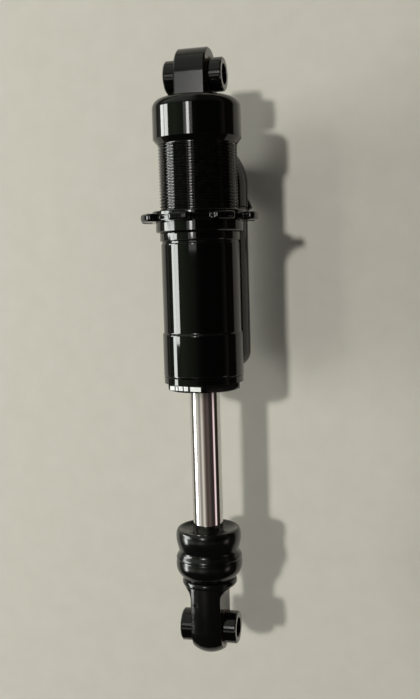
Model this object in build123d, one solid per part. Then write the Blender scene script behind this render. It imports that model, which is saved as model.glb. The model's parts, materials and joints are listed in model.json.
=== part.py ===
from build123d import *
import math
import os

# Rear coil-over damper for a mountain bike, shown without its coil spring.
# The damper's axis lies along Y with the head end at +Y, the upper eye's centre is the origin,
# both eye bores run along X, and the piggyback reservoir hangs on the -Z side.
# A profile is a list of (radius, y) corners, and a third number rounds that corner.

# --- driving dimensions, mm -------------------------------------------------------------
EYE_TO_EYE = 230.0
STROKE = 65.0
RUNNING = 0.03                 # radial clearance of a running fit

EYE_R = 11.0                   # outside of both eyelets
EYE_THICK = 12.7               # eyelet width between its flats
BUSH_OUT_R = 7.35
BUSH_IN_R = 6.35
BOLT_R = 4.05                  # for an M8 mounting bolt
SPACER_R = 6.75
HARDWARE_WIDTH = 24.0          # over both spacers

CAP_R = 18.1
CAP_TOP = -9.0
CAP_BOTTOM = -27.3
BRIDGE_WIDTH = 15.8
PORT_Y = -16.3                 # oil port from the head to the reservoir

BORE_R = 13.5                  # damper tube, inside
TUBE_R = 16.1
TUBE_END_R = 16.6              # thicker lower end of the tube
TUBE_TOP = -19.2
TUBE_STEP = -103.6
TUBE_END = -121.45
SPIGOT_R = 15.6
THREAD_R = 16.2
THREAD_ROOT_R = 15.5
THREAD_PITCH = 1.27
THREAD_START = CAP_BOTTOM - 0.3
THREAD_TURNS = 26
LAND_R = 16.45                 # land that stops the spring pilot
LAND_TOP = -62.7
LAND_BOTTOM = -66.1
GROOVE_BOTTOM = -67.0

RING_R = 24.75
RING_HUB_R = 19.4
RING_TOP = -54.0
LOBE_TOP = -55.2
RING_BOTTOM = -58.4
NOTCHES = 8
NOTCH_FLOOR = 8.0              # width of a notch at its floor
NOTCH_MOUTH = 10.0
NOTCH_TURN = -5.6              # degrees from +Z towards +X
PILOT_R = 18.0
PILOT_BOTTOM = -62.6
PILOT_BORE_R = 16.3

SEAL_HEAD_R = 16.5
SEAL_HEAD_INNER = -108.0
SEAL_HEAD_END = -127.4
SEAL_FLATS_TOP = -124.3
SEAL_FLATS = 29.2              # across the six spanner flats
SEAL_FLATS_TURN = 14.0

SHAFT_R = 6.35
SHAFT_BORE_R = 2.0
SHAFT_TOP = -84.0
PISTON_LOW = -102.0
PISTON_HIGH = -92.0
SHAFT_SHOULDER = -103.0
SHAFT_NOSE_R = 4.0             # carries the piston stack
SHAFT_TAIL_R = 5.5             # screwed into the lower eyelet
SHAFT_TAIL_END = -214.4

EYELET_TOP = -208.3
FLANGE_R = 11.6
FLANGE_LOW = -210.4
RUNOUT_R = 4.4                 # end-mill run-out above the eyelet's flats
RUNOUT_LOW = -215.5
ADJUSTER_X = -3.9
ADJUSTER_Y = -217.9
ADJUSTER_R = 1.3
ADJUSTER_FACE_Z = 9.9
CAM_R = 0.85
CAM_THROW = 0.4
BUMP_TOP = -187.0
BUMP_DISH = -192.0              # floor of the dished top, at the shaft

RES_Z = -39.5
RES_R = 12.0
RES_BORE_R = 11.0
RES_HEAD_R = 12.3
RES_TOP = -50.5
RES_SPIGOT_END = -55.0
RES_TUBE_END = -112.0
RES_END = -123.0
RES_END_ROUND = 7.4
VALVE_TIP = -129.2
VALVE_BORE_R = 9.0
SPOOL_Y = -37.0
SPOOL_R = 3.0
BOSS_Z = -53.0
LEVER_BACK_Z = -56.4
LEVER_TIP = (8.6, -50.2)


# --- helpers ----------------------------------------------------------------------------
def profile(corners):
    """Closed face in the XY plane, with the corners rounded that ask for it."""
    face = make_face(Polyline(*[corner[:2] for corner in corners], close=True))
    for corner in corners:
        if len(corner) == 3:
            spot = face.vertices().sort_by_distance(Vertex(corner[0], corner[1], 0))[0]
            face = fillet(spot, corner[2])
    return face


def turned(*corners, z=0.0):
    """Solid turned about the line parallel to Y at height z."""
    return Pos(0, 0, z) * revolve(profile(corners), Axis.Y)


def ring(inner, outer, low, high, z=0.0):
    return turned((inner, low), (outer, low), (outer, high), (inner, high), z=z)


def rod(radius, low, high, z=0.0):
    return Pos(0, (low + high) / 2, z) * Rot(90, 0, 0) * Cylinder(radius, high - low)


def cross_rod(radius, low, high, y=0.0, z=0.0):
    """Cylinder along X."""
    return Pos((low + high) / 2, y, z) * Rot(0, 90, 0) * Cylinder(radius, high - low)


def depth_rod(radius, low, high, x=0.0, y=0.0):
    """Cylinder along Z."""
    return Pos(x, y, (low + high) / 2) * Cylinder(radius, high - low)


def o_ring(radius, wire, y, z=0.0):
    return Pos(0, y, z) * Rot(90, 0, 0) * Torus(radius, wire)


def hex_prism(across_flats, low, high, z=0.0, turn=0.0):
    """Hexagonal bar along Y, with a corner turned from +Z towards +X."""
    outline = RegularPolygon(across_flats / 2, 6, major_radius=False)
    bar = extrude(Plane.XZ * Rot(0, 0, 90) * outline, amount=high - low)
    return Pos(0, high, z) * Rot(0, turn, 0) * bar


def stack(radii, bore, thickness, start, z=0.0, way=1):
    """Thin discs on top of each other, from start along way."""
    discs = []
    for index, radius in enumerate(radii):
        face = start + way * index * thickness
        low, high = sorted((face, face + way * thickness))
        discs.append(ring(bore, radius, low, high, z=z))
    return Compound(children=discs)


# --- damper body ------------------------------------------------------------------------
def make_upper_head():
    cap = turned((0, CAP_BOTTOM), (CAP_R - 1.8, CAP_BOTTOM), (CAP_R, CAP_BOTTOM + 2.2),
                 (CAP_R, CAP_TOP, 4.0), (0, CAP_TOP))
    blade = Box(EYE_THICK, -CAP_TOP + 1.0, 2 * EYE_R, align=(Align.CENTER, Align.MAX, Align.CENTER))
    eyelet = blade + cross_rod(EYE_R, -EYE_THICK / 2, EYE_THICK / 2)
    eyelet = chamfer(eyelet.edges().filter_by(GeomType.CIRCLE), 0.6)
    head = cap + eyelet
    root = [edge for edge in head.edges()
            if abs(edge.center().Y - CAP_TOP) < 0.01 and abs(abs(edge.center().X) - EYE_THICK / 2) < 0.01]
    head = fillet(root, 2.5)

    shoulder_low, shoulder_high = -40.0, -27.5
    rise = shoulder_high - shoulder_low
    swell = RES_HEAD_R - BRIDGE_WIDTH / 2
    shoulder_r = (rise ** 2 + swell ** 2) / (2 * swell)
    shoulder = RadiusArc((RES_HEAD_R, shoulder_low), (BRIDGE_WIDTH / 2, shoulder_high), -shoulder_r)
    rest = Polyline((BRIDGE_WIDTH / 2, shoulder_high), (BRIDGE_WIDTH / 2, -13.5), (5.9, -11.5), (0, -11.5),
                    (0, RES_SPIGOT_END), (RES_BORE_R - 0.03, RES_SPIGOT_END), (RES_BORE_R - 0.03, RES_TOP),
                    (RES_HEAD_R, RES_TOP), (RES_HEAD_R, shoulder_low))
    reservoir_head = Pos(0, 0, RES_Z) * revolve(make_face(Curve() + [shoulder, rest]), Axis.Y)
    bridge = Pos(0, -19.5, -26.0) * Box(BRIDGE_WIDTH, 14.0, 28.0)
    bridge = fillet(bridge.edges().filter_by(Axis.Z), 3.0)
    boss = depth_rod(6.5, BOSS_Z, RES_Z, y=SPOOL_Y)
    boss = chamfer(boss.edges().filter_by(lambda e: abs(e.center().Z - BOSS_Z) < 0.01), 0.5)
    head = head + reservoir_head + bridge + boss

    head -= rod(SPIGOT_R + 0.02, CAP_BOTTOM - 1, TUBE_TOP)
    head -= rod(BORE_R - 0.5, TUBE_TOP - 1, -13.5)
    head -= depth_rod(2.5, RES_Z, 0, y=PORT_Y)
    head -= rod(5.0, -45, -14, z=RES_Z)
    head -= rod(VALVE_BORE_R, RES_SPIGOT_END - 1, -41, z=RES_Z)
    head -= rod(2.1, -15, -10, z=RES_Z)
    head -= depth_rod(SPOOL_R + RUNNING, BOSS_Z - 1, -33.8, y=SPOOL_Y)
    head -= ring(RES_BORE_R - 1.0, RES_BORE_R + 1, -53.6, -52.0, z=RES_Z)
    return head - cross_rod(BUSH_OUT_R, -10, 10)


def make_damper_tube():
    crest = THREAD_PITCH / 8
    groove = [(BORE_R, TUBE_TOP), (SPIGOT_R - 0.9, TUBE_TOP), (SPIGOT_R, TUBE_TOP - 0.9),
              (SPIGOT_R, -22.2), (SPIGOT_R - 1.0, -22.2), (SPIGOT_R - 1.0, -23.6), (SPIGOT_R, -23.6),
              (SPIGOT_R, THREAD_START)]
    for turn in range(THREAD_TURNS):
        top = THREAD_START - turn * THREAD_PITCH
        groove += [(THREAD_ROOT_R, top - 0.15), (THREAD_R, top - THREAD_PITCH / 2 + crest / 2),
                   (THREAD_R, top - THREAD_PITCH / 2 - crest / 2), (THREAD_ROOT_R, top - THREAD_PITCH + 0.15)]
    lower = [(THREAD_ROOT_R, LAND_TOP), (LAND_R - 0.3, LAND_TOP), (LAND_R, LAND_TOP - 0.3),
             (LAND_R, LAND_BOTTOM), (TUBE_R - 0.35, LAND_BOTTOM - 0.2), (TUBE_R - 0.35, GROOVE_BOTTOM),
             (TUBE_R, GROOVE_BOTTOM - 0.3), (TUBE_R, TUBE_STEP), (TUBE_END_R, TUBE_STEP - 0.5),
             (TUBE_END_R, TUBE_END + 0.3), (TUBE_END_R - 0.3, TUBE_END), (BORE_R, TUBE_END)]
    return turned(*groove, *lower)


def make_seal_head():
    body = turned((6.9, SEAL_HEAD_INNER), (BORE_R - 0.04, SEAL_HEAD_INNER), (BORE_R - 0.04, -111.0),
                  (BORE_R - 1.1, -111.0), (BORE_R - 1.1, -112.6), (BORE_R - 0.04, -112.6),
                  (BORE_R - 0.04, TUBE_END - 0.05), (SEAL_HEAD_R - 0.3, TUBE_END - 0.05),
                  (SEAL_HEAD_R, TUBE_END - 0.35), (SEAL_HEAD_R, SEAL_HEAD_END, 2.2), (6.9, SEAL_HEAD_END))
    flats = ring(0, SEAL_HEAD_R + 1, SEAL_HEAD_END - 1, SEAL_FLATS_TOP)
    flats -= hex_prism(SEAL_FLATS, SEAL_HEAD_END - 2, SEAL_FLATS_TOP + 1, turn=SEAL_FLATS_TURN)
    body -= flats
    body -= rod(7.9, -117.0, SEAL_HEAD_INNER + 1)
    body -= rod(9.3, SEAL_HEAD_END - 1, -124.0)
    return body - rod(9.0, -124.5, -119.0)


def make_dust_wiper():
    return turned((SHAFT_R + 0.4, -124.05), (9.25, -124.05), (9.25, -127.0), (8.2, -127.6),
                  (SHAFT_R + 0.9, -128.0), (SHAFT_R + 0.02, -127.9), (SHAFT_R + 0.02, -127.2))


def make_eye_bush(y):
    bush = cross_rod(BUSH_OUT_R, -EYE_THICK / 2 + 0.1, EYE_THICK / 2 - 0.1, y=y)
    return bush - cross_rod(BUSH_IN_R, -10, 10, y=y)


def make_spacer(y, side):
    """Reducer with a flange outside the eyelet and a spigot inside its bush."""
    half = HARDWARE_WIDTH / 2
    face = EYE_THICK / 2 + 0.1
    spigot = BUSH_IN_R - RUNNING
    outline = profile([(BOLT_R, 0), (spigot, 0), (spigot, 2.6), (spigot - 0.8, 2.6), (spigot - 0.8, 4.0),
                       (spigot, 4.0), (spigot, face), (SPACER_R, face), (SPACER_R, half - 0.5),
                       (SPACER_R - 0.5, half), (BOLT_R + 0.25, half), (BOLT_R, half - 0.25)])
    return Pos(0, y, 0) * Rot(0, 0, -90 * side) * revolve(outline, Axis.Y)


def make_spacer_o_rings(y):
    radius = BUSH_IN_R - RUNNING - 0.4
    return Compound(children=[Pos(3.3 * side, y, 0) * Rot(0, 90, 0) * Torus(radius, 0.37) for side in (-1, 1)])


# --- reservoir --------------------------------------------------------------------------
def make_reservoir_tube():
    return turned((RES_BORE_R, RES_TUBE_END), (RES_R, RES_TUBE_END), (RES_R, RES_TOP - 0.4),
                  (RES_R - 0.3, RES_TOP), (RES_BORE_R, RES_TOP), z=RES_Z)


def make_reservoir_end_cap():
    plug = RES_BORE_R - 0.04
    cap = turned((3.5, -104.0), (plug, -104.0), (plug, -107.0), (plug - 1.0, -107.0), (plug - 1.0, -108.5),
                 (plug, -108.5), (plug, RES_TUBE_END), (RES_R, RES_TUBE_END), (RES_R, RES_END, RES_END_ROUND),
                 (3.5, RES_END), z=RES_Z)
    return cap - rod(8.0, -109.0, -103.0, z=RES_Z)


def make_charge_valve():
    """Schrader body: hexagon against the end cap, threaded stem, stepped bore."""
    body = rod(3.45, RES_END, -110.5, z=RES_Z) + hex_prism(9.0, RES_END - 1.6, RES_END, z=RES_Z)
    body += rod(3.2, VALVE_TIP, RES_END - 1.0, z=RES_Z)
    for turn in range(4):
        body += ring(3.1, 3.75, VALVE_TIP + 0.4 + turn * 0.9, VALVE_TIP + 0.9 + turn * 0.9, z=RES_Z)
    return body - rod(2.3, VALVE_TIP - 1.0, -110.0, z=RES_Z)


def make_valve_core():
    core = rod(2.28, VALVE_TIP + 1.0, -115.0, z=RES_Z)
    return core - rod(0.8, VALVE_TIP, -114.0, z=RES_Z)


def make_valve_pin():
    return rod(0.75, VALVE_TIP + 0.4, -116.0, z=RES_Z)


def make_valve_cap():
    low = VALVE_TIP - 3.0
    cap = turned((0, low), (4.8, low, 0.8), (4.8, RES_END - 1.6), (0, RES_END - 1.6), z=RES_Z)
    cap -= rod(3.85, low + 1.6, RES_END - 1.0, z=RES_Z)
    for groove in range(16):
        angle = math.radians(groove * 22.5)
        spot = Pos(4.95 * math.sin(angle), 0, RES_Z + 4.95 * math.cos(angle))
        cap -= spot * rod(0.4, low + 1.0, RES_END - 1.0)
    return cap


def make_compression_piston():
    """Base valve of the reservoir, with a ring of oil ports."""
    piston = ring(2.5, VALVE_BORE_R - 0.03, -50.0, -44.0, z=RES_Z)
    for port in range(6):
        angle = math.radians(port * 60)
        piston -= Pos(5.4 * math.sin(angle), 0, 5.4 * math.cos(angle)) * rod(1.1, -51, -43, z=RES_Z)
    return piston


def make_compression_bolt():
    bolt = rod(2.48, -54.2, -43.8, z=RES_Z) + rod(4.2, -43.95, -41.6, z=RES_Z)
    return bolt - hex_prism(3.0, -43.2, -41.0, z=RES_Z)


def make_floating_piston():
    edge = RES_BORE_R - RUNNING
    cup = turned((0, -67.0), (edge - 2.0, -67.0), (edge, -66.6), (edge, -62.9), (edge - 1.0, -62.9),
                 (edge - 1.0, -61.3), (edge, -61.3), (edge, -57.4), (edge - 0.4, -57.0), (0, -57.0), z=RES_Z)
    return cup - rod(7.5, -68.0, -61.0, z=RES_Z)


def make_lever_spindle():
    """Rotary valve barrel with a cross port, driven by the lever through a square."""
    spindle = depth_rod(SPOOL_R, BOSS_Z - 0.2, -34.2, y=SPOOL_Y)
    neck = depth_rod(4, -50.6, -49.4, y=SPOOL_Y) - depth_rod(SPOOL_R - 0.6, -51, -49, y=SPOOL_Y)
    spindle -= neck
    spindle += Pos(0, SPOOL_Y, BOSS_Z - 1.6) * Box(3.6, 3.6, 3.0)
    spindle -= rod(1.6, -42, -32, z=RES_Z)
    return spindle - depth_rod(1.25, LEVER_BACK_Z - 1, BOSS_Z + 5, y=SPOOL_Y)


def make_compression_lever():
    """Flat lever behind the reservoir head, from its hub down to a lipped tip."""
    tip_x, tip_y = LEVER_TIP
    reach = math.hypot(tip_x, tip_y - SPOOL_Y)
    turn = math.degrees(math.atan2(tip_y - SPOOL_Y, tip_x))
    arm = make_face(Polyline((0, -5.0), (reach, -2.6), (reach + 1.6, -2.2), (reach + 1.6, 2.6),
                             (reach, 2.6), (0, 5.0), close=True))
    arm = fillet(arm.vertices().sort_by(Axis.X)[-2:], 0.8)
    blade = extrude(arm, 2.6) + extrude(Circle(6.2), 3.2)
    lip = Pos(reach + 0.3, 0.2, 0) * Box(2.4, 4.6, 4.0, align=(Align.CENTER, Align.CENTER, Align.MIN))
    lever = fillet((blade + fillet(lip.edges(), 0.5)).edges().filter_by(Axis.Z).sort_by(Axis.X)[:1], 0.3)
    lever = Pos(0, SPOOL_Y, LEVER_BACK_Z) * Rot(0, 0, turn) * lever
    lever -= Pos(0, SPOOL_Y, BOSS_Z - 1.2) * Box(3.66, 3.66, 4.0)
    return lever - depth_rod(1.6, LEVER_BACK_Z - 1, BOSS_Z, y=SPOOL_Y)


def make_lever_screw():
    head = depth_rod(2.6, LEVER_BACK_Z - 1.4, LEVER_BACK_Z, y=SPOOL_Y)
    head = chamfer(head.edges().filter_by(lambda e: e.center().Z < LEVER_BACK_Z - 1.0 and
                                          e.geom_type == GeomType.CIRCLE), 0.4)
    screw = head + depth_rod(1.2, LEVER_BACK_Z - 0.5, BOSS_Z + 4.5, y=SPOOL_Y)
    socket = Pos(0, SPOOL_Y, LEVER_BACK_Z - 2) * extrude(RegularPolygon(1.0, 6, major_radius=False), 1.6)
    return screw - socket


# --- spring preload ---------------------------------------------------------------------
def make_preload_ring():
    outline = Circle(RING_R)
    floor, mouth, reach = NOTCH_FLOOR / 2, NOTCH_MOUTH / 2, RING_R + 2
    slot = profile([(RING_HUB_R, -floor, 1.2), (reach, -mouth), (reach, mouth), (RING_HUB_R, floor, 1.2)])
    for notch in range(NOTCHES):
        outline -= Rot(0, 0, notch * 360 / NOTCHES) * slot
    outline = fillet(outline.vertices().filter_by(
        lambda v: math.hypot(v.X, v.Y) > RING_R - 0.5), 1.8)
    lobes = extrude(outline, LOBE_TOP - RING_BOTTOM)
    rims = [edge for edge in lobes.edges()
            if abs(edge.center().Z) < 0.01 or abs(edge.center().Z - (LOBE_TOP - RING_BOTTOM)) < 0.01]
    lobes = fillet(rims, 1.1)
    lobes = Pos(0, RING_BOTTOM, 0) * Rot(0, NOTCH_TURN, 0) * Rot(-90, 0, 0) * Rot(0, 0, 112.5) * lobes
    hub = turned((0, RING_BOTTOM), (RING_HUB_R - 0.1, RING_BOTTOM), (RING_HUB_R - 0.1, RING_TOP, 0.5),
                 (0, RING_TOP))
    body = lobes + hub
    return body - turned((0, RING_BOTTOM - 1), (THREAD_R + 0.05, RING_BOTTOM - 1), (THREAD_R + 0.05, RING_TOP - 0.5),
                         (THREAD_R + 0.55, RING_TOP), (THREAD_R + 0.55, RING_TOP + 1), (0, RING_TOP + 1))


def make_spring_pilot():
    return turned((PILOT_BORE_R, PILOT_BOTTOM), (PILOT_R - 0.5, PILOT_BOTTOM), (PILOT_R, PILOT_BOTTOM + 0.5),
                  (PILOT_R, RING_BOTTOM - 0.05), (PILOT_BORE_R, RING_BOTTOM - 0.05))


# --- shaft and what rides on it ---------------------------------------------------------
def make_damper_shaft():
    shaft = turned((0, SHAFT_TAIL_END), (SHAFT_TAIL_R - 0.5, SHAFT_TAIL_END),
                   (SHAFT_TAIL_R, SHAFT_TAIL_END + 0.5), (SHAFT_TAIL_R, EYELET_TOP), (SHAFT_R, EYELET_TOP),
                   (SHAFT_R, SHAFT_SHOULDER - 0.5), (SHAFT_R - 0.5, SHAFT_SHOULDER),
                   (SHAFT_NOSE_R, SHAFT_SHOULDER), (SHAFT_NOSE_R, SHAFT_TOP - 0.4),
                   (SHAFT_NOSE_R - 0.4, SHAFT_TOP), (0, SHAFT_TOP))
    shaft -= rod(SHAFT_BORE_R, SHAFT_TAIL_END - 1, SHAFT_TOP + 1)
    return shaft - cross_rod(0.5, -10, 10, y=SHAFT_SHOULDER - 1.2)


def make_main_piston():
    edge = BORE_R - 0.12
    piston = turned((SHAFT_NOSE_R, PISTON_LOW), (edge, PISTON_LOW), (edge, -99.5), (edge - 0.9, -99.5),
                    (edge - 0.9, -94.5), (edge, -94.5), (edge, PISTON_HIGH), (SHAFT_NOSE_R, PISTON_HIGH))
    for port in range(6):
        angle = math.radians(port * 60)
        piston -= Pos(8.8 * math.sin(angle), 0, 8.8 * math.cos(angle)) * rod(1.7, -103, -91)
    return piston


def make_piston_nut():
    nut = hex_prism(13.0, -90.6, -85.4)
    return nut - rod(SHAFT_NOSE_R, -92, -84)


def make_bump_stop():
    """Two-lobed rubber stop with a dished top."""
    bore = SHAFT_R + 0.1
    lobes = Spline((12.9, -187.9), (13.4, -190.4), (12.5, -196.4), (13.55, -199.9), (13.85, -203.6),
                   (11.2, EYELET_TOP + 0.5), tangents=((0.35, -1), (-0.8, -0.8)))
    inside = Polyline((11.2, EYELET_TOP + 0.5), (10.6, EYELET_TOP), (bore, EYELET_TOP), (bore, BUMP_DISH),
                      (11.6, BUMP_TOP), (12.4, BUMP_TOP), (12.9, -187.9))
    return revolve(make_face(Curve() + [lobes, inside]), Axis.Y)


def make_lower_eyelet():
    centre = -EYE_TO_EYE
    bar = turned((0, centre), (EYE_R, centre), (EYE_R, FLANGE_LOW - 0.6), (FLANGE_R, FLANGE_LOW, 0.8),
                 (FLANGE_R, EYELET_TOP, 1.2), (0, EYELET_TOP))
    bar += Pos(0, centre, 0) * Sphere(EYE_R)
    half = EYE_THICK / 2
    edge = Polyline((half + RUNOUT_R, RUNOUT_LOW + RUNOUT_R), (20, RUNOUT_LOW + RUNOUT_R), (20, centre - 20),
                    (half, centre - 20), (half, RUNOUT_LOW))
    runout = RadiusArc((half, RUNOUT_LOW), (half + RUNOUT_R, RUNOUT_LOW + RUNOUT_R), RUNOUT_R)
    flat = extrude(make_face(Curve() + [edge, runout]), 15, both=True)
    bar -= flat
    bar -= mirror(flat, Plane.YZ)
    bar -= rod(SHAFT_TAIL_R + 0.02, SHAFT_TAIL_END - 0.2, EYELET_TOP + 1)
    bar -= rod(4.6, ADJUSTER_Y - 1.6, SHAFT_TAIL_END)
    bar -= depth_rod(ADJUSTER_R + RUNNING, -4.6, 15, x=ADJUSTER_X, y=ADJUSTER_Y)
    return bar - cross_rod(BUSH_OUT_R, -10, 10, y=centre)


def make_rebound_adjuster():
    """Cross screw whose eccentric pin lifts the metering rod."""
    front = depth_rod(ADJUSTER_R, 4.9, ADJUSTER_FACE_Z, x=ADJUSTER_X, y=ADJUSTER_Y)
    front = chamfer(front.edges().filter_by(lambda e: e.center().Z > ADJUSTER_FACE_Z - 0.05), 0.25)
    cam = depth_rod(CAM_R, -4.4, 5.0, x=ADJUSTER_X, y=ADJUSTER_Y - CAM_THROW)
    socket = Pos(ADJUSTER_X, ADJUSTER_Y, ADJUSTER_FACE_Z - 1.3) * extrude(RegularPolygon(0.8, 6, major_radius=False), 2)
    return front + cam - socket


def make_metering_rod():
    foot_low = ADJUSTER_Y - CAM_THROW + CAM_R + 0.15
    return turned((0, foot_low), (4.2, foot_low), (4.2, foot_low + 1.2), (1.5, foot_low + 1.2),
                  (1.5, -108.5), (0.5, -105.2), (0, -105.2))


NODES = {
    "upper_head": make_upper_head,
    "damper_tube": make_damper_tube,
    "head_o_ring": lambda: o_ring(SPIGOT_R - 0.5, 0.48, -22.9),
    "seal_head": make_seal_head,
    "seal_head_o_ring": lambda: o_ring(BORE_R - 0.6, 0.5, -111.8),
    "shaft_bushing": lambda: ring(SHAFT_R + RUNNING, 7.88, -117.0, -109.0),
    "shaft_seal": lambda: turned((SHAFT_R + 0.02, -120.5), (6.9, -119.1), (8.95, -119.1), (8.95, -123.9),
                                 (SHAFT_R + 0.6, -123.9), (SHAFT_R + 0.6, -122.0), (SHAFT_R + 0.02, -121.2)),
    "dust_wiper": make_dust_wiper,
    "upper_eye_bush": lambda: make_eye_bush(0.0),
    "upper_spacer_left": lambda: make_spacer(0.0, -1),
    "upper_spacer_right": lambda: make_spacer(0.0, 1),
    "upper_spacer_o_rings": lambda: make_spacer_o_rings(0.0),
    "reservoir_tube": make_reservoir_tube,
    "reservoir_head_o_ring": lambda: o_ring(RES_BORE_R - 0.52, 0.46, -52.8, z=RES_Z),
    "reservoir_end_cap": make_reservoir_end_cap,
    "end_cap_o_ring": lambda: o_ring(RES_BORE_R - 0.55, 0.48, -107.75, z=RES_Z),
    "charge_valve": make_charge_valve,
    "valve_core": make_valve_core,
    "valve_pin": make_valve_pin,
    "valve_cap": make_valve_cap,
    "bleed_screw": lambda: (rod(2.08, -14.0, -11.4, z=RES_Z) + rod(3.6, -11.5, -9.6, z=RES_Z)
                            - hex_prism(2.5, -11.0, -9.0, z=RES_Z)),
    "compression_piston": make_compression_piston,
    "compression_piston_shims": lambda: stack((7.6, 6.8, 6.0, 5.2), 2.5, 0.2, -50.0, z=RES_Z, way=-1),
    "compression_piston_bolt": make_compression_bolt,
    "compression_piston_nut": lambda: (hex_prism(8.0, -53.6, -50.85, z=RES_Z) - rod(2.5, -55, -50, z=RES_Z)),
    "floating_piston": make_floating_piston,
    "floating_piston_o_ring": lambda: o_ring(RES_BORE_R - 0.54, 0.47, -62.1, z=RES_Z),
    "lever_spindle": make_lever_spindle,
    "spindle_o_ring": lambda: Pos(0, SPOOL_Y, -50.0) * Torus(SPOOL_R - 0.3, 0.28),
    "compression_lever": make_compression_lever,
    "lever_screw": make_lever_screw,
    "preload_ring": make_preload_ring,
    "spring_pilot": make_spring_pilot,
    "damper_shaft": make_damper_shaft,
    "top_out_bumper": lambda: turned((SHAFT_R + 0.05, -107.8), (9.2, -107.8), (9.8, -106.4), (9.8, -105.9),
                                     (9.2, -104.9), (SHAFT_R + 0.05, -104.9)),
    "top_out_plate": lambda: ring(SHAFT_NOSE_R, 10.5, SHAFT_SHOULDER, PISTON_LOW - 0.8),
    "rebound_shims": lambda: stack((11.0, 9.6, 8.2, 6.8), SHAFT_NOSE_R, 0.2, PISTON_HIGH),
    "compression_shims": lambda: stack((11.0, 10.0, 9.0, 8.0), SHAFT_NOSE_R, 0.2, PISTON_LOW, way=-1),
    "main_piston": make_main_piston,
    "piston_band": lambda: ring(BORE_R - 1.02, BORE_R - RUNNING, -99.45, -94.55),
    "piston_nut": make_piston_nut,
    "bump_stop": make_bump_stop,
    "lower_eyelet": make_lower_eyelet,
    "lower_eye_bush": lambda: make_eye_bush(-EYE_TO_EYE),
    "lower_spacer_left": lambda: make_spacer(-EYE_TO_EYE, -1),
    "lower_spacer_right": lambda: make_spacer(-EYE_TO_EYE, 1),
    "lower_spacer_o_rings": lambda: make_spacer_o_rings(-EYE_TO_EYE),
    "rebound_adjuster": make_rebound_adjuster,
    "metering_rod": make_metering_rod,
}

os.makedirs("parts", exist_ok=True)
for name, make in NODES.items():
    export_step(make(), f"parts/{name}.step")
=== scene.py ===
import bmesh
import bpy
import json
import math
from mathutils import Matrix, Vector


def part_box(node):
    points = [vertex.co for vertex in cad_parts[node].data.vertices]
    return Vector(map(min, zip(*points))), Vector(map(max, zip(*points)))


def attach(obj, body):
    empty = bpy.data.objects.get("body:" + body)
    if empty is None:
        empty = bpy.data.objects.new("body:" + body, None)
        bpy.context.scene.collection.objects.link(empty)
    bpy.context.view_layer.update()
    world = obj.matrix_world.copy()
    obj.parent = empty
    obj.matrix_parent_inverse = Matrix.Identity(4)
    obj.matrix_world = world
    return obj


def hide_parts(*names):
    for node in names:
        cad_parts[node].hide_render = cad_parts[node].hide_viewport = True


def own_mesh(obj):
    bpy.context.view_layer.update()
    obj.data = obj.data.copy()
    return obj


# Looks for a rear coil-over damper. Metres, in the CAD frame: the damper's axis is Y with the head
# end at +Y, the upper eye's centre is the origin, and the reservoir is on the -Z side.

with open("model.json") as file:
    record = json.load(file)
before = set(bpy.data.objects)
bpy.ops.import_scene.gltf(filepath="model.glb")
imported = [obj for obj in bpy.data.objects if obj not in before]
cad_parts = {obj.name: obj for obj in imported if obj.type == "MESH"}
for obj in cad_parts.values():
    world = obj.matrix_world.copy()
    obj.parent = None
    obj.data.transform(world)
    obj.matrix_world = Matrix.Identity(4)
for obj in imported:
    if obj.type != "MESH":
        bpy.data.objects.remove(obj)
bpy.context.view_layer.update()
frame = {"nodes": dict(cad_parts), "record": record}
nodes = frame["nodes"]
MM = 0.001


# --- camera -----------------------------------------------------------------------------
SENSOR = 36.0                      # over the picture's longer side
FOCAL = 45.734
DISTANCE = 370 * MM
TURN = math.radians(14.0)          # camera's place round the shock's axis, from +Z towards +X
RISE = math.radians(5.5)           # and towards the head end
ROLL = math.radians(1.635)
AIM_Y = -111.1 * MM                # the point on the axis that the camera and the lamps aim at
AIM_SIDE = 2.8 * MM                # the camera's shift to its own right


def camera_axes():
    """Right, up and back directions of the camera, in the row frame."""
    back = Vector((math.sin(TURN) * math.cos(RISE), math.sin(RISE), math.cos(TURN) * math.cos(RISE)))
    right = Vector((0, 1, 0)).cross(back).normalized()
    up = back.cross(right)
    rolled_up = up * math.cos(ROLL) + right * math.sin(ROLL)
    return rolled_up.cross(back), rolled_up, back


def add_camera():
    right, up, back = camera_axes()
    data = bpy.data.cameras.new("camera")
    data.sensor_width = SENSOR
    data.lens = FOCAL
    data.clip_start = 0.01
    data.clip_end = 50
    camera = bpy.data.objects.new("camera", data)
    place = Vector((0, AIM_Y, 0)) + right * AIM_SIDE + back * DISTANCE
    camera.matrix_world = Matrix.Translation(place) @ Matrix((right, up, back)).transposed().to_4x4()
    bpy.context.scene.collection.objects.link(camera)
    bpy.context.scene.camera = camera


# --- studio -----------------------------------------------------------------------------
FLOOR_Z = -59.5 * MM
FLOOR_SIZE = 8.0
PALE_REFLECTION_MIDDLE_X = -39 * MM          # past this band, mirrors see the floor painted dark: a painted reflection of a dark room
PALE_REFLECTION_HALF_WIDTH = (150 * MM, 165 * MM)
PALE = (0.66, 0.642, 0.618)
AMBIENT = (0.14, 0.137, 0.132)

WINDOW_COLOUR = (0.97, 1.0, 0.95)
WINDOW_DISTANCE = 1.2
KEY_COLOUR = (1.0, 0.98, 0.95)
KEY_DISTANCE = 1.6
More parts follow.
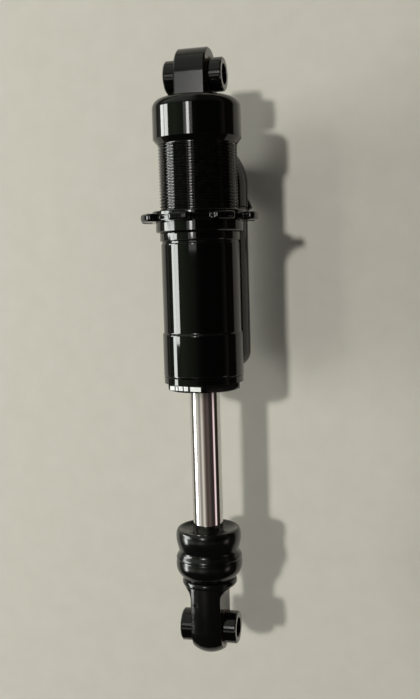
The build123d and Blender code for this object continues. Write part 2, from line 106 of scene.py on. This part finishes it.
# Panels that light matt surfaces, and panels that only mirrors see: name, degrees to the camera's left,
# degrees towards the head, distance, width, height, radiance, colour, seen in mirrors.
PANELS = [
    ("window", 82, -1, WINDOW_DISTANCE, 0.5, 0.75, 6.9, WINDOW_COLOUR, False),
    ("pane_low_near", 74.5, -2.7, WINDOW_DISTANCE, 0.245, 0.22, 13, WINDOW_COLOUR, True),
    ("pane_low_far", 87.5, -12, WINDOW_DISTANCE, 0.245, 0.64, 13, WINDOW_COLOUR, True),
    ("pane_high_near", 83, 9.5, WINDOW_DISTANCE, 0.245, 0.27, 13, WINDOW_COLOUR, True),
    ("pane_high_far", 96.5, 9.5, WINDOW_DISTANCE, 0.245, 0.27, 13, WINDOW_COLOUR, True),
    ("key", 22.5, 5.5, KEY_DISTANCE, 0.08, 0.08, 560, KEY_COLOUR, False),
    ("key_reflection", 22, 4.5, KEY_DISTANCE, 0.18, 0.38, 14, KEY_COLOUR, True),
    ("key_halo", 22, 4.5, KEY_DISTANCE + 0.02, 0.62, 0.45, 1.2, KEY_COLOUR, True)]

# What a mirror sees of the room, in level bands: (degrees to the camera's left, radiance), all the way round.
ROOM_LEVEL = [
    (179, (0.05, 0.045, 0.04)), (70, (0.16, 0.19, 0.12)), (60, (0.20, 0.23, 0.15)),
    (38, (0.12, 0.14, 0.09)), (20, (0.07, 0.08, 0.055)), (8, (0.02, 0.02, 0.018)),
    (-4, (0.003, 0.003, 0.003)), (-60, (0.004, 0.004, 0.004)), (-78, (0.12, 0.11, 0.10)),
    (-150, (0.03, 0.027, 0.024))]
ROOM_LOW = [
    (179, (0.5, 0.47, 0.42)), (100, (0.55, 0.53, 0.50)), (62, (0.85, 0.82, 0.75)),
    (50, (0.38, 0.37, 0.33)), (40, (0.36, 0.34, 0.31)), (31, (0.92, 0.86, 0.75)),
    (24, (0.80, 0.74, 0.65)), (14, (0.26, 0.23, 0.20)), (2, (0.08, 0.06, 0.05)),
    (-17, (0.13, 0.10, 0.09)), (-33, (0.04, 0.035, 0.03)), (-55, (0.05, 0.03, 0.035)),
    (-61, (1.25, 0.95, 0.98)), (-69, (1.35, 1.15, 1.15)), (-74, (0.07, 0.05, 0.05)),
    (-95, (0.2, 0.18, 0.16)), (-150, (0.4, 0.36, 0.32))]
ROOM_HIGH = [
    (179, (0.03, 0.03, 0.03)), (168, (0.22, 0.23, 0.20)), (155, (0.50, 0.52, 0.45)),
    (90, (0.55, 0.58, 0.50)), (25, (0.42, 0.43, 0.37)), (-5, (0.05, 0.05, 0.045)),
    (-60, (0.05, 0.05, 0.045)), (-100, (0.20, 0.19, 0.17)), (-155, (0.26, 0.25, 0.23)),
    (-172, (0.03, 0.03, 0.03))]
ROOM_UNDER = (0.018, 0.0165, 0.015)
# From the bottom up: the sines of the heights between which each band takes over from what is under it.
ROOM_BANDS = [((-0.35, -0.318), ROOM_LOW), ((-0.152, -0.142), ROOM_LEVEL), ((0.28, 0.5), ROOM_HIGH)]
ROOM_GAIN = 1.5                    # the world's strength; its colours are divided by it


def view_direction(left_deg, up_deg):
    """Direction from the shock that the camera sees so many degrees to its left and towards the head."""
    right, up, back = camera_axes()
    left, rise = math.radians(left_deg), math.radians(up_deg)
    flat = back * math.cos(left) - right * math.sin(left)
    return (flat * math.cos(rise) + up * math.sin(rise)).normalized()


def add_panel(name, left_deg, up_deg, distance, width, height, radiance, colour, mirrored):
    """Lamp panel facing the shock's middle; width runs round the axis, height along it."""
    data = bpy.data.lights.new(name, "AREA")
    data.shape = "RECTANGLE"
    data.size = width
    data.size_y = height
    data.energy = radiance * math.pi * width * height
    data.color = colour
    lamp = bpy.data.objects.new(name, data)
    centre = Vector((0, AIM_Y, 0))
    toward = view_direction(left_deg, up_deg)
    side = Vector((0, 1, 0)).cross(toward).normalized()
    axes = Matrix((side, toward.cross(side), toward)).transposed().to_4x4()
    lamp.matrix_world = Matrix.Translation(centre + toward * distance) @ axes
    lamp.visible_camera = False
    lamp.visible_glossy = mirrored
    lamp.visible_diffuse = not mirrored
    bpy.context.scene.collection.objects.link(lamp)


def dimmed(colour):
    """Colour that the world's strength brings back to the given one."""
    return tuple(channel / ROOM_GAIN for channel in colour)


def room_ramp(graph, turn, stops):
    """Colour ramp round the room from (degrees left of the camera, radiance) stops."""
    ramp = graph.node("ShaderNodeValToRGB", Fac=turn)
    placed = sorted((((TURN - math.radians(left)) / math.tau + 0.5) % 1.0, colour) for left, colour in stops)
    elements = ramp.color_ramp.elements
    while len(elements) < len(placed):
        elements.new(0.5)
    for element, (place, colour) in zip(elements, placed):
        element.position = place
        element.color = (*dimmed(colour), 1)
    return ramp.outputs["Color"]


def add_world():
    """Pale to the camera, even to matt surfaces, and a room with bright and dark sides to mirrors."""
    world = bpy.data.worlds.new("studio")
    bpy.context.scene.world = world
    world.use_nodes = True
    graph = Graph(world.node_tree)
    ray = graph.node("ShaderNodeTexCoord").outputs["Generated"]
    direction = graph.node("ShaderNodeSeparateXYZ", Vector=ray)
    angle = graph.math("ARCTAN2", direction.outputs["X"], direction.outputs["Z"])
    turn = graph.spread(angle, (-math.pi, math.pi), (0.0, 1.0))
    room = dimmed(ROOM_UNDER)
    for heights, stops in ROOM_BANDS:
        above = graph.spread(direction.outputs["Y"], heights, (0.0, 1.0))
        room = graph.mix(above, room, room_ramp(graph, turn, stops))
    path = graph.node("ShaderNodeLightPath")
    plain = graph.mix(path.outputs["Is Camera Ray"], dimmed(AMBIENT), dimmed(PALE))
    seen = graph.mix(path.outputs["Is Glossy Ray"], plain, room)
    background = world.node_tree.nodes["Background"]
    background.inputs["Strength"].default_value = ROOM_GAIN
    world.node_tree.links.new(seen, background.inputs["Color"])


def floor_material():
    """Plain pale floor; past a middle band, mirror rays see it painted dark, a painted reflection of a dark
    room.
    """
    look = Look("floor", (0.70, 0.675, 0.595), 0.85)
    look.set("Specular IOR Level", 0.15)
    grain = look.noise(90, detail=6, span=(0.3, 0.7), to=(0.0, 1.0))
    paper = look.graph.mix(grain, (0.685, 0.66, 0.58), (0.715, 0.69, 0.61))
    place = look.graph.node("ShaderNodeSeparateXYZ", Vector=look.coordinates)
    off_middle = look.graph.math("ABSOLUTE", look.graph.math("SUBTRACT", place.outputs["X"], PALE_REFLECTION_MIDDLE_X))
    painted_dark_reflection_zone = look.graph.spread(off_middle, PALE_REFLECTION_HALF_WIDTH, (0.0, 1.0))
    path = look.graph.node("ShaderNodeLightPath")
    # painted reflection: mirror rays past the band see the floor painted dark brown, standing in for a dark
    # room
    mirrored = look.graph.math("MULTIPLY", painted_dark_reflection_zone, path.outputs["Is Glossy Ray"])
    look.link("Base Color", look.graph.mix(mirrored, paper, (0.03, 0.022, 0.012)))
    look.bump(look.noise(700, detail=4), 0.15, 0.0003)
    return look.material


def add_studio():
    add_world()
    for panel in PANELS:
        add_panel(*panel)
    bpy.ops.mesh.primitive_plane_add(size=FLOOR_SIZE, location=(0, AIM_Y, FLOOR_Z))
    floor = bpy.context.object
    floor.name = "floor"
    floor.data.materials.append(floor_material())


# --- node helpers -----------------------------------------------------------------------
class Graph:
    """Short calls that add nodes to a tree and join them."""

    def __init__(self, tree):
        self.tree = tree

    def plug(self, socket, value):
        if isinstance(value, bpy.types.NodeSocket):
            self.tree.links.new(value, socket)
        elif isinstance(value, tuple) and socket.type == "RGBA":
            socket.default_value = (*value, 1)
        else:
            socket.default_value = value

    def node(self, kind, **inputs):
        made = self.tree.nodes.new(kind)
        for name, value in inputs.items():
            self.plug(made.inputs[name.replace("_", " ")], value)
        return made

    def math(self, operation, *values):
        made = self.tree.nodes.new("ShaderNodeMath")
        made.operation = operation
        for socket, value in zip(made.inputs, values):
            self.plug(socket, value)
        return made.outputs[0]

    def spread(self, value, source, target):
        """value carried from one range to another, and held at its ends."""
        made = self.node("ShaderNodeMapRange", Value=value, From_Min=source[0], From_Max=source[1],
                         To_Min=target[0], To_Max=target[1])
        return made.outputs["Result"]

    def mix(self, factor, first, second):
        made = self.tree.nodes.new("ShaderNodeMix")
        made.data_type = "RGBA"
        for name, value in (("Factor_Float", factor), ("A_Color", first), ("B_Color", second)):
            socket = next(s for s in made.inputs if s.identifier == name)
            self.plug(socket, value)
        return next(s for s in made.outputs if s.identifier == "Result_Color")


class Look:
    """A material being made, with the patterns that several of them share."""

    def __init__(self, name, colour, roughness, metallic=0.0):
        self.material = bpy.data.materials.new(name)
        self.material.use_nodes = True
        tree = self.material.node_tree
        self.graph = Graph(tree)
        self.shader = tree.nodes["Principled BSDF"]
        self.coordinates = self.graph.node("ShaderNodeTexCoord").outputs["Object"]
        self.set("Base Color", (*colour, 1))
        self.set("Roughness", roughness)
        self.set("Metallic", metallic)

    def set(self, name, value):
        self.shader.inputs[name].default_value = value

    def link(self, name, socket):
        self.graph.plug(self.shader.inputs[name], socket)

    def noise(self, scale, stretch=(1, 1, 1), detail=3, span=(0.0, 1.0), to=(0.0, 1.0)):
        """Noise of 1/scale metres, stretched by direction, with the range span carried to the range to."""
        placed = self.graph.node("ShaderNodeMapping", Vector=self.coordinates, Scale=stretch)
        pattern = self.graph.node("ShaderNodeTexNoise", Vector=placed.outputs["Vector"],
                                  Scale=scale, Detail=detail)
        return self.graph.spread(pattern.outputs["Fac"], span, to)

    def specks(self, scale, share, to=(0.0, 1.0)):
        """Separate round specks in the given share of cells of 1/scale metres."""
        cells = self.graph.node("ShaderNodeTexVoronoi", Vector=self.coordinates, Scale=scale)
        chosen = self.graph.math("LESS_THAN", cells.outputs["Color"], share)
        near = self.graph.spread(cells.outputs["Distance"], (0.12, 0.22), (1.0, 0.0))
        return self.graph.spread(self.graph.math("MULTIPLY", chosen, near), (0, 1), to)

    def edges(self, radius, threshold=(0.02, 0.25)):
        """1 on convex and concave edges within the radius, 0 elsewhere."""
        rounded = self.graph.node("ShaderNodeBevel", Radius=radius)
        rounded.samples = 6
        straight = self.graph.node("ShaderNodeNewGeometry").outputs["Normal"]
        made = self.graph.tree.nodes.new("ShaderNodeVectorMath")
        made.operation = "DOT_PRODUCT"
        self.graph.plug(made.inputs[0], rounded.outputs["Normal"])
        self.graph.plug(made.inputs[1], straight)
        bent = self.graph.math("SUBTRACT", 1.0, made.outputs["Value"])
        return self.graph.spread(bent, threshold, (0.0, 1.0))

    def worn(self, paint, bare, radius=0.00035, amount=0.5):
        """Paint or anodising rubbed thin along the edges, in patches."""
        patches = self.noise(500, span=(0.35, 0.65), to=(0.15, 1.0))
        rubbed = self.graph.math("MULTIPLY", self.edges(radius), patches)
        self.link("Base Color", self.graph.mix(self.graph.math("MULTIPLY", rubbed, amount), paint, bare))

    def bump(self, height, strength, distance):
        made = self.graph.node("ShaderNodeBump", Height=height, Strength=strength, Distance=distance)
        if self.shader.inputs["Normal"].is_linked:
            self.graph.plug(made.inputs["Normal"], self.shader.inputs["Normal"].links[0].from_socket)
        self.link("Normal", made.outputs["Normal"])


# --- materials --------------------------------------------------------------------------
ROUND_AXIS = (0.012, 1.0, 0.012)   # stretches a pattern into rings round the damper's axis
ALONG_AXIS = (1.0, 0.012, 1.0)     # and into hairs along it
CAP_TOP = -9.0 * MM


def gloss_black(name, gloss, ring_scale=5200):
    """Black anodising over turned metal: mirror gloss with faint rings, thumb smears and a little dust."""
    look = Look(name, (0.002, 0.002, 0.0019), gloss)
    specks = look.specks(900, 0.02)
    paint = look.graph.mix(specks, (0.0018, 0.0019, 0.0017), (0.03, 0.03, 0.027))
    look.worn(paint, (0.10, 0.10, 0.095), amount=0.35)
    smears = look.noise(75, detail=5, span=(0.45, 0.75), to=(gloss, gloss + 0.05))
    look.link("Roughness", look.graph.math("ADD", smears, look.specks(900, 0.02, to=(0.0, 0.3))))
    look.bump(look.noise(ring_scale, stretch=ROUND_AXIS, detail=2), 0.05, 0.00001)
    return look


def head_gloss_black():
    """As the tube, with the eyelet above the cap less polished."""
    look = gloss_black("head_gloss_black", 0.05)
    height = look.graph.node("ShaderNodeSeparateXYZ", Vector=look.coordinates).outputs["Y"]
    above_cap = look.graph.spread(height, (CAP_TOP - 0.4 * MM, CAP_TOP + 0.4 * MM), (0.0, 1.0))
    satin = look.noise(260, detail=4, to=(0.13, 0.22))
    glossy = look.shader.inputs["Roughness"].links[0].from_socket
    blended = look.graph.node("ShaderNodeMix", Factor=above_cap, A=glossy, B=satin)
    look.link("Roughness", blended.outputs["Result"])
    return look.material


def eyelet_black():
    """Black anodising over a bead-blasted surface: an even sheen with a fine grain."""
    look = Look("eyelet_black", (0.003, 0.003, 0.0025), 0.25)
    paint = look.graph.mix(look.noise(260, detail=4), (0.0022, 0.0025, 0.002), (0.0042, 0.0045, 0.0038))
    look.worn(paint, (0.13, 0.13, 0.12), amount=0.4)
    look.link("Roughness", look.noise(120, detail=5, span=(0.3, 0.7), to=(0.10, 0.17)))
    look.bump(look.noise(5200, detail=3), 0.12, 0.00003)
    return look.material


def chrome_shaft():
    """Hard chrome, ground round the axis and polished, with hair scratches along it and a few pits."""
    chrome = (0.66, 0.645, 0.63)
    look = Look("chrome_shaft", chrome, 0.06, 1.0)
    pits = look.specks(420, 0.035)
    look.link("Base Color", look.graph.mix(pits, chrome, (0.16, 0.12, 0.10)))
    hairs = look.noise(1500, stretch=ALONG_AXIS, detail=2, span=(0.55, 0.75), to=(0.0, 0.06))
    haze = look.noise(140, detail=4, span=(0.35, 0.75), to=(0.045, 0.10))
    look.link("Roughness", look.graph.math("ADD", hairs, haze))
    look.bump(look.noise(9000, stretch=ROUND_AXIS, detail=2), 0.08, 0.00001)
    look.bump(pits, 0.3, -0.00005)
    return look.material


def rubber_black():
    """Moulded rubber: soft sheen, bloom in patches, dust and a fine mould grain."""
    look = Look("rubber_black", (0.003, 0.0034, 0.0031), 0.28)
    bloom = look.noise(170, detail=6, span=(0.38, 0.72))
    dusty = look.graph.mix(bloom, (0.0018, 0.0022, 0.002), (0.0048, 0.0056, 0.005))
    look.link("Base Color", look.graph.mix(look.specks(1100, 0.05), dusty, (0.07, 0.07, 0.065)))
    look.link("Roughness", look.noise(110, detail=5, span=(0.3, 0.7), to=(0.14, 0.23)))
    look.bump(look.noise(2400, detail=3), 0.10, 0.00005)
    look.bump(look.noise(330, detail=2), 0.12, 0.00025)
    return look.material


def seal_rubber():
    look = Look("seal_rubber", (0.01, 0.01, 0.01), 0.45)
    dusty = look.graph.mix(look.noise(500), (0.007, 0.007, 0.007), (0.017, 0.017, 0.016))
    look.link("Base Color", dusty)
    look.link("Roughness", look.noise(400, to=(0.3, 0.55)))
    look.bump(look.noise(4000), 0.1, 0.00004)
    return look.material


def turned_metal(name, colour, roughness, tarnish):
    """Bare metal off the lathe: rings round the axis, tarnish in patches and brighter edges."""
    look = Look(name, colour, roughness, 1.0)
    patches = look.noise(230, detail=5, span=(0.4, 0.75), to=(0.0, 0.35))
    dulled = look.graph.mix(patches, colour, tarnish)
    bright = tuple(min(1.0, channel * 1.25) for channel in colour)
    look.worn(dulled, bright, amount=0.6)
    look.link("Roughness", look.noise(4200, stretch=ROUND_AXIS, to=(roughness - 0.07, roughness + 0.12)))
    look.bump(look.noise(4200, stretch=ROUND_AXIS, detail=2), 0.15, 0.00002)
    return look.material


def black_steel():
    look = Look("black_steel", (0.015, 0.015, 0.015), 0.28)
    oxide = look.graph.mix(look.noise(600), (0.010, 0.010, 0.010), (0.020, 0.020, 0.019))
    look.worn(oxide, (0.22, 0.22, 0.21))
    look.link("Roughness", look.noise(800, to=(0.2, 0.4)))
    look.bump(look.noise(6000), 0.1, 0.00002)
    return look.material


def moulded(name, dark, pale, roughness):
    """Moulded plastic or urethane: slight colour drift and a spark-eroded grain."""
    look = Look(name, dark, roughness)
    look.link("Base Color", look.graph.mix(look.noise(300, detail=5), dark, pale))
    look.link("Roughness", look.noise(500, to=(roughness - 0.08, roughness + 0.1)))
    look.bump(look.noise(2800, detail=3), 0.15, 0.00004)
    return look.material


LOOKS = {
    "head_gloss_black": head_gloss_black(),
    "tube_gloss_black": gloss_black("tube_gloss_black", 0.035).material,
    "ring_black": gloss_black("ring_black", 0.07, ring_scale=3000).material,
    "eyelet_black": eyelet_black(),
    "chrome_shaft": chrome_shaft(),
    "rubber_black": rubber_black(),
    "seal_rubber": seal_rubber(),
    "bare_aluminium": turned_metal("bare_aluminium", (0.74, 0.74, 0.75), 0.28, (0.5, 0.5, 0.5)),
    "steel": turned_metal("steel", (0.54, 0.54, 0.55), 0.26, (0.33, 0.31, 0.29)),
    "black_steel": black_steel(),
    "brass": turned_metal("brass", (0.74, 0.54, 0.25), 0.24, (0.42, 0.28, 0.12)),
    "bush_polymer": moulded("bush_polymer", (0.17, 0.10, 0.055), (0.24, 0.145, 0.08), 0.45),
    "band_polymer": moulded("band_polymer", (0.26, 0.14, 0.07), (0.34, 0.19, 0.10), 0.45),
    "bumper_urethane": moulded("bumper_urethane", (0.42, 0.29, 0.10), (0.56, 0.40, 0.15), 0.38),
    "cap_plastic": moulded("cap_plastic", (0.010, 0.010, 0.010), (0.020, 0.020, 0.019), 0.38),
}


def dress_nodes():
    """Gives every CAD node the look of its material slot."""
    for part in frame["record"]["subparts"]:
        node = nodes[part["node"]]
        node.data.materials.clear()
        node.data.materials.append(LOOKS[part["material_slot"]])


# --- turned and moulded pieces ----------------------------------------------------------
COLUMNS = 128
ANGLES = [column * math.tau / COLUMNS for column in range(COLUMNS + 1)]
SUPPORT = 0.35                     # distance of a holding ring from a corner, mm


def circle_row(radius, y):
    """One ring of points, in millimetres, whose last point repeats its first."""
    return [(radius, y, angle) for angle in ANGLES]


def skin(name, rows, body, slot, sharp_deg):
    """Closed piece from rings of (radius, y, angle) in millimetres; the last ring joins the first."""
    mesh = bpy.data.meshes.new(name)
    points = [(r * math.sin(a) * MM, y * MM, r * math.cos(a) * MM) for row in rows for r, y, a in row]
    width = COLUMNS + 1
    faces = []
    for i in range(len(rows)):
        here, there = i * width, (i + 1) % len(rows) * width
        faces += [(here + c, there + c, there + c + 1, here + c + 1) for c in range(COLUMNS)]
    mesh.from_pydata(points, [], faces)
    work = bmesh.new()
    work.from_mesh(mesh)
    bmesh.ops.remove_doubles(work, verts=work.verts, dist=1e-6)
    bmesh.ops.dissolve_degenerate(work, edges=work.edges, dist=1e-7)
    bmesh.ops.recalc_face_normals(work, faces=work.faces)
    work.to_mesh(mesh)
    work.free()
    mesh.shade_smooth()
    mesh.set_sharp_from_angle(angle=math.radians(sharp_deg))
    piece = bpy.data.objects.new(name, mesh)
    bpy.context.scene.collection.objects.link(piece)
    mesh.materials.append(LOOKS[slot])
    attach(piece, body)
    return piece


def turned_rows(points):
    """Rings through (radius, y) points, with a holding ring near both ends of every long stretch."""
    rows = []
    for start, end in zip(points, points[1:]):
        rows.append(circle_row(*start))
        length = math.dist(start, end)
        if length > 4 * SUPPORT:
            for share in (SUPPORT / length, 1 - SUPPORT / length):
                rows.append(circle_row(*(a + (b - a) * share for a, b in zip(start, end))))
    return rows + [circle_row(*points[-1])]


# Damper tube, mm.
TUBE_BORE_R = 13.5
SPIGOT_R = 15.6
TUBE_R = 16.1
TUBE_END_R = 16.6
TUBE_STEP = -103.6
THREAD_R = 16.2
THREAD_DEPTH = 0.62
THREAD_PITCH = 1.27
THREAD_START = -27.6
THREAD_SECTION = [                 # share of a pitch, depth under the crest
    (0.07, THREAD_DEPTH), (0.46, 0.0), (0.54, 0.0), (0.93, THREAD_DEPTH)]
LAND_R = 16.45
LAND_TOP = -62.7
LAND_BOTTOM = -66.1
RELIEF_BOTTOM = -67.0


def thread_rows():
    """A right-hand helix: each ring of points follows one edge of the thread's section round the tube."""
    turns = math.ceil((THREAD_START - LAND_TOP) / THREAD_PITCH)
    rows = []
    for turn in range(-1, turns + 1):
        for share, depth in THREAD_SECTION:
            row = []
            for angle in ANGLES:
                y = THREAD_START - (turn + share + angle / math.tau) * THREAD_PITCH
                inside = LAND_TOP < y < THREAD_START
                radius = THREAD_R - (depth if inside else THREAD_DEPTH)
                row.append((radius, min(max(y, LAND_TOP), THREAD_START), angle))
            rows.append(row)
    return rows


def make_damper_tube():
    """Tube with its cut thread, the land under it and the stepped lower end."""
    low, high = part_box("damper_tube")
    top, end = high[1] / MM, low[1] / MM
    rows = turned_rows([(TUBE_BORE_R, top), (SPIGOT_R - 0.9, top), (SPIGOT_R, top - 0.9),
                        (SPIGOT_R, THREAD_START)])
    rows += thread_rows()
    land = [(THREAD_R - THREAD_DEPTH, LAND_TOP), (LAND_R - 0.3, LAND_TOP), (LAND_R - 0.08, LAND_TOP - 0.08),
            (LAND_R, LAND_TOP - 0.3), (LAND_R, LAND_BOTTOM + 0.25), (LAND_R - 0.08, LAND_BOTTOM + 0.07),
            (LAND_R - 0.25, LAND_BOTTOM)]
    relief = [(TUBE_R - 0.35, LAND_BOTTOM - 0.2), (TUBE_R - 0.35, RELIEF_BOTTOM),
              (TUBE_R - 0.1, RELIEF_BOTTOM - 0.08), (TUBE_R, RELIEF_BOTTOM - 0.3)]
    step = [(TUBE_R, TUBE_STEP + 0.2), (TUBE_R + 0.1, TUBE_STEP), (TUBE_END_R - 0.15, TUBE_STEP - 0.3),
            (TUBE_END_R, TUBE_STEP - 0.6)]
    lower_end = [(TUBE_END_R, end + 0.35), (TUBE_END_R - 0.1, end + 0.1), (TUBE_END_R - 0.35, end),
                 (TUBE_BORE_R, end)]
    rows += turned_rows(land + relief + step + lower_end)
    piece = skin("threaded_damper_tube", rows, "damper_body", "tube_gloss_black", sharp_deg=50)
    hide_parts("damper_tube")


# Bump stop, mm.
STOP_OUTLINE = [                   # radius and height above the foot, from the rim down to the foot
    (12.7, 21.5), (13.25, 20.95), (13.6, 19.9), (13.75, 18.2), (13.6, 16.2), (13.1, 14.0), (12.75, 12.5),
    (12.9, 11.5), (13.35, 10.6), (13.75, 9.8), (13.7, 9.0), (13.85, 8.2), (14.0, 6.8), (13.95, 5.2),
    (13.6, 3.8), (12.8, 2.4), (11.9, 1.3), (11.3, 0.5)]
STOP_FOOT_R = 10.6
STOP_BORE_R = 6.45
STOP_DISH = [                      # radius and depth under the rim, from the bore out
    (6.85, 1.9), (9.0, 1.45), (11.2, 0.7), (11.75, 0.25), (12.2, 0.04)]
STOP_PARTING = 9.4                 # height of the mould's parting line
FLASH_REACH = 0.22
FLASH_WIDTH = 0.14
STOP_STEPS = 5                     # rings between two points of the outline


def smooth_points(points, steps):
    """Catmull-Rom curve through the points."""
    curve = []
    for i in range(len(points) - 1):
        before, a, b, after = (Vector(points[min(max(k, 0), len(points) - 1)]) for k in range(i - 1, i + 3))
        for step in range(steps):
            t = step / steps
            curve.append(0.5 * (2 * a + (b - before) * t + (2 * before - 5 * a + 4 * b - after) * t ** 2
                                + (3 * a - before - 3 * b + after) * t ** 3))
    return curve + [Vector(points[-1])]


def make_bump_stop():
    """Two-lobed rubber stop with a parting line and a dished top."""
    low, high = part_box("bump_stop")
    foot = low[1] / MM
    rim = foot + STOP_OUTLINE[0][1]
    rows = []
    for radius, height in smooth_points(STOP_OUTLINE, STOP_STEPS):
        flash = FLASH_REACH * math.exp(-((height - STOP_PARTING) / FLASH_WIDTH) ** 2)
        rows.append(circle_row(radius + flash, foot + height))
    bore = [(STOP_FOOT_R, foot), (STOP_BORE_R + 0.3, foot), (STOP_BORE_R, foot + 0.4),
            (STOP_BORE_R, rim - STOP_DISH[0][1] - 0.4)]
    dish = [(radius, rim - depth) for radius, depth in STOP_DISH]
    rows += [circle_row(*point) for point in bore + dish]
    piece = skin("moulded_bump_stop", rows, "shaft_assembly", "rubber_black", sharp_deg=55)
    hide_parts("bump_stop")
    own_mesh(piece)


# Generic mark on the seal head, mm.
FLAT_APOTHEM = 14.6                # seal head's spanner flats
FLAT_TURN = math.radians(-16)      # the flat that looks half left of +Z
ETCH_TOP = 2.55                    # above the seal head's lower end
ETCH_BOTTOM = 0.75
ETCH_FILM = 0.02                   # how far a block reaches over and under the flat
ETCHED_BLOCKS = [                  # left and right ends along the flat
    (-7.6, -5.4), (-5.0, -4.0), (-3.6, -1.6), (-1.1, 0.9), (1.9, 6.9)]

BLOCK_FACES = ((0, 1, 2, 3), (4, 5, 6, 7), (0, 1, 5, 4), (1, 2, 6, 5), (2, 3, 7, 6), (3, 0, 4, 7))


def make_etched_blocks():
    """Row of plain blocks on one flat: thin films that stand for bare metal under etched anodising."""
    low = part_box("seal_head")[0][1] / MM
    across = Vector((math.cos(FLAT_TURN), 0, -math.sin(FLAT_TURN)))
    out = Vector((math.sin(FLAT_TURN), 0, math.cos(FLAT_TURN)))
    work = bmesh.new()
    for left, right in ETCHED_BLOCKS:
        outline = ((left, ETCH_BOTTOM), (right, ETCH_BOTTOM), (right, ETCH_TOP), (left, ETCH_TOP))
        corners = [work.verts.new((across * x + Vector((0, low + y, 0)) + out * (FLAT_APOTHEM + proud)) * MM)
                   for proud in (-ETCH_FILM, ETCH_FILM) for x, y in outline]
        for face in BLOCK_FACES:
            work.faces.new([corners[i] for i in face])
    bmesh.ops.recalc_face_normals(work, faces=work.faces)
    mesh = bpy.data.meshes.new("etched_blocks")
    work.to_mesh(mesh)
    work.free()
    mesh.materials.append(LOOKS["bare_aluminium"])
    piece = bpy.data.objects.new("etched_blocks", mesh)
    bpy.context.scene.collection.objects.link(piece)
    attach(piece, "damper_body")


bpy.context.scene.view_settings.view_transform = "Standard"
add_camera()
add_studio()
dress_nodes()
make_damper_tube()
make_bump_stop()
make_etched_blocks()
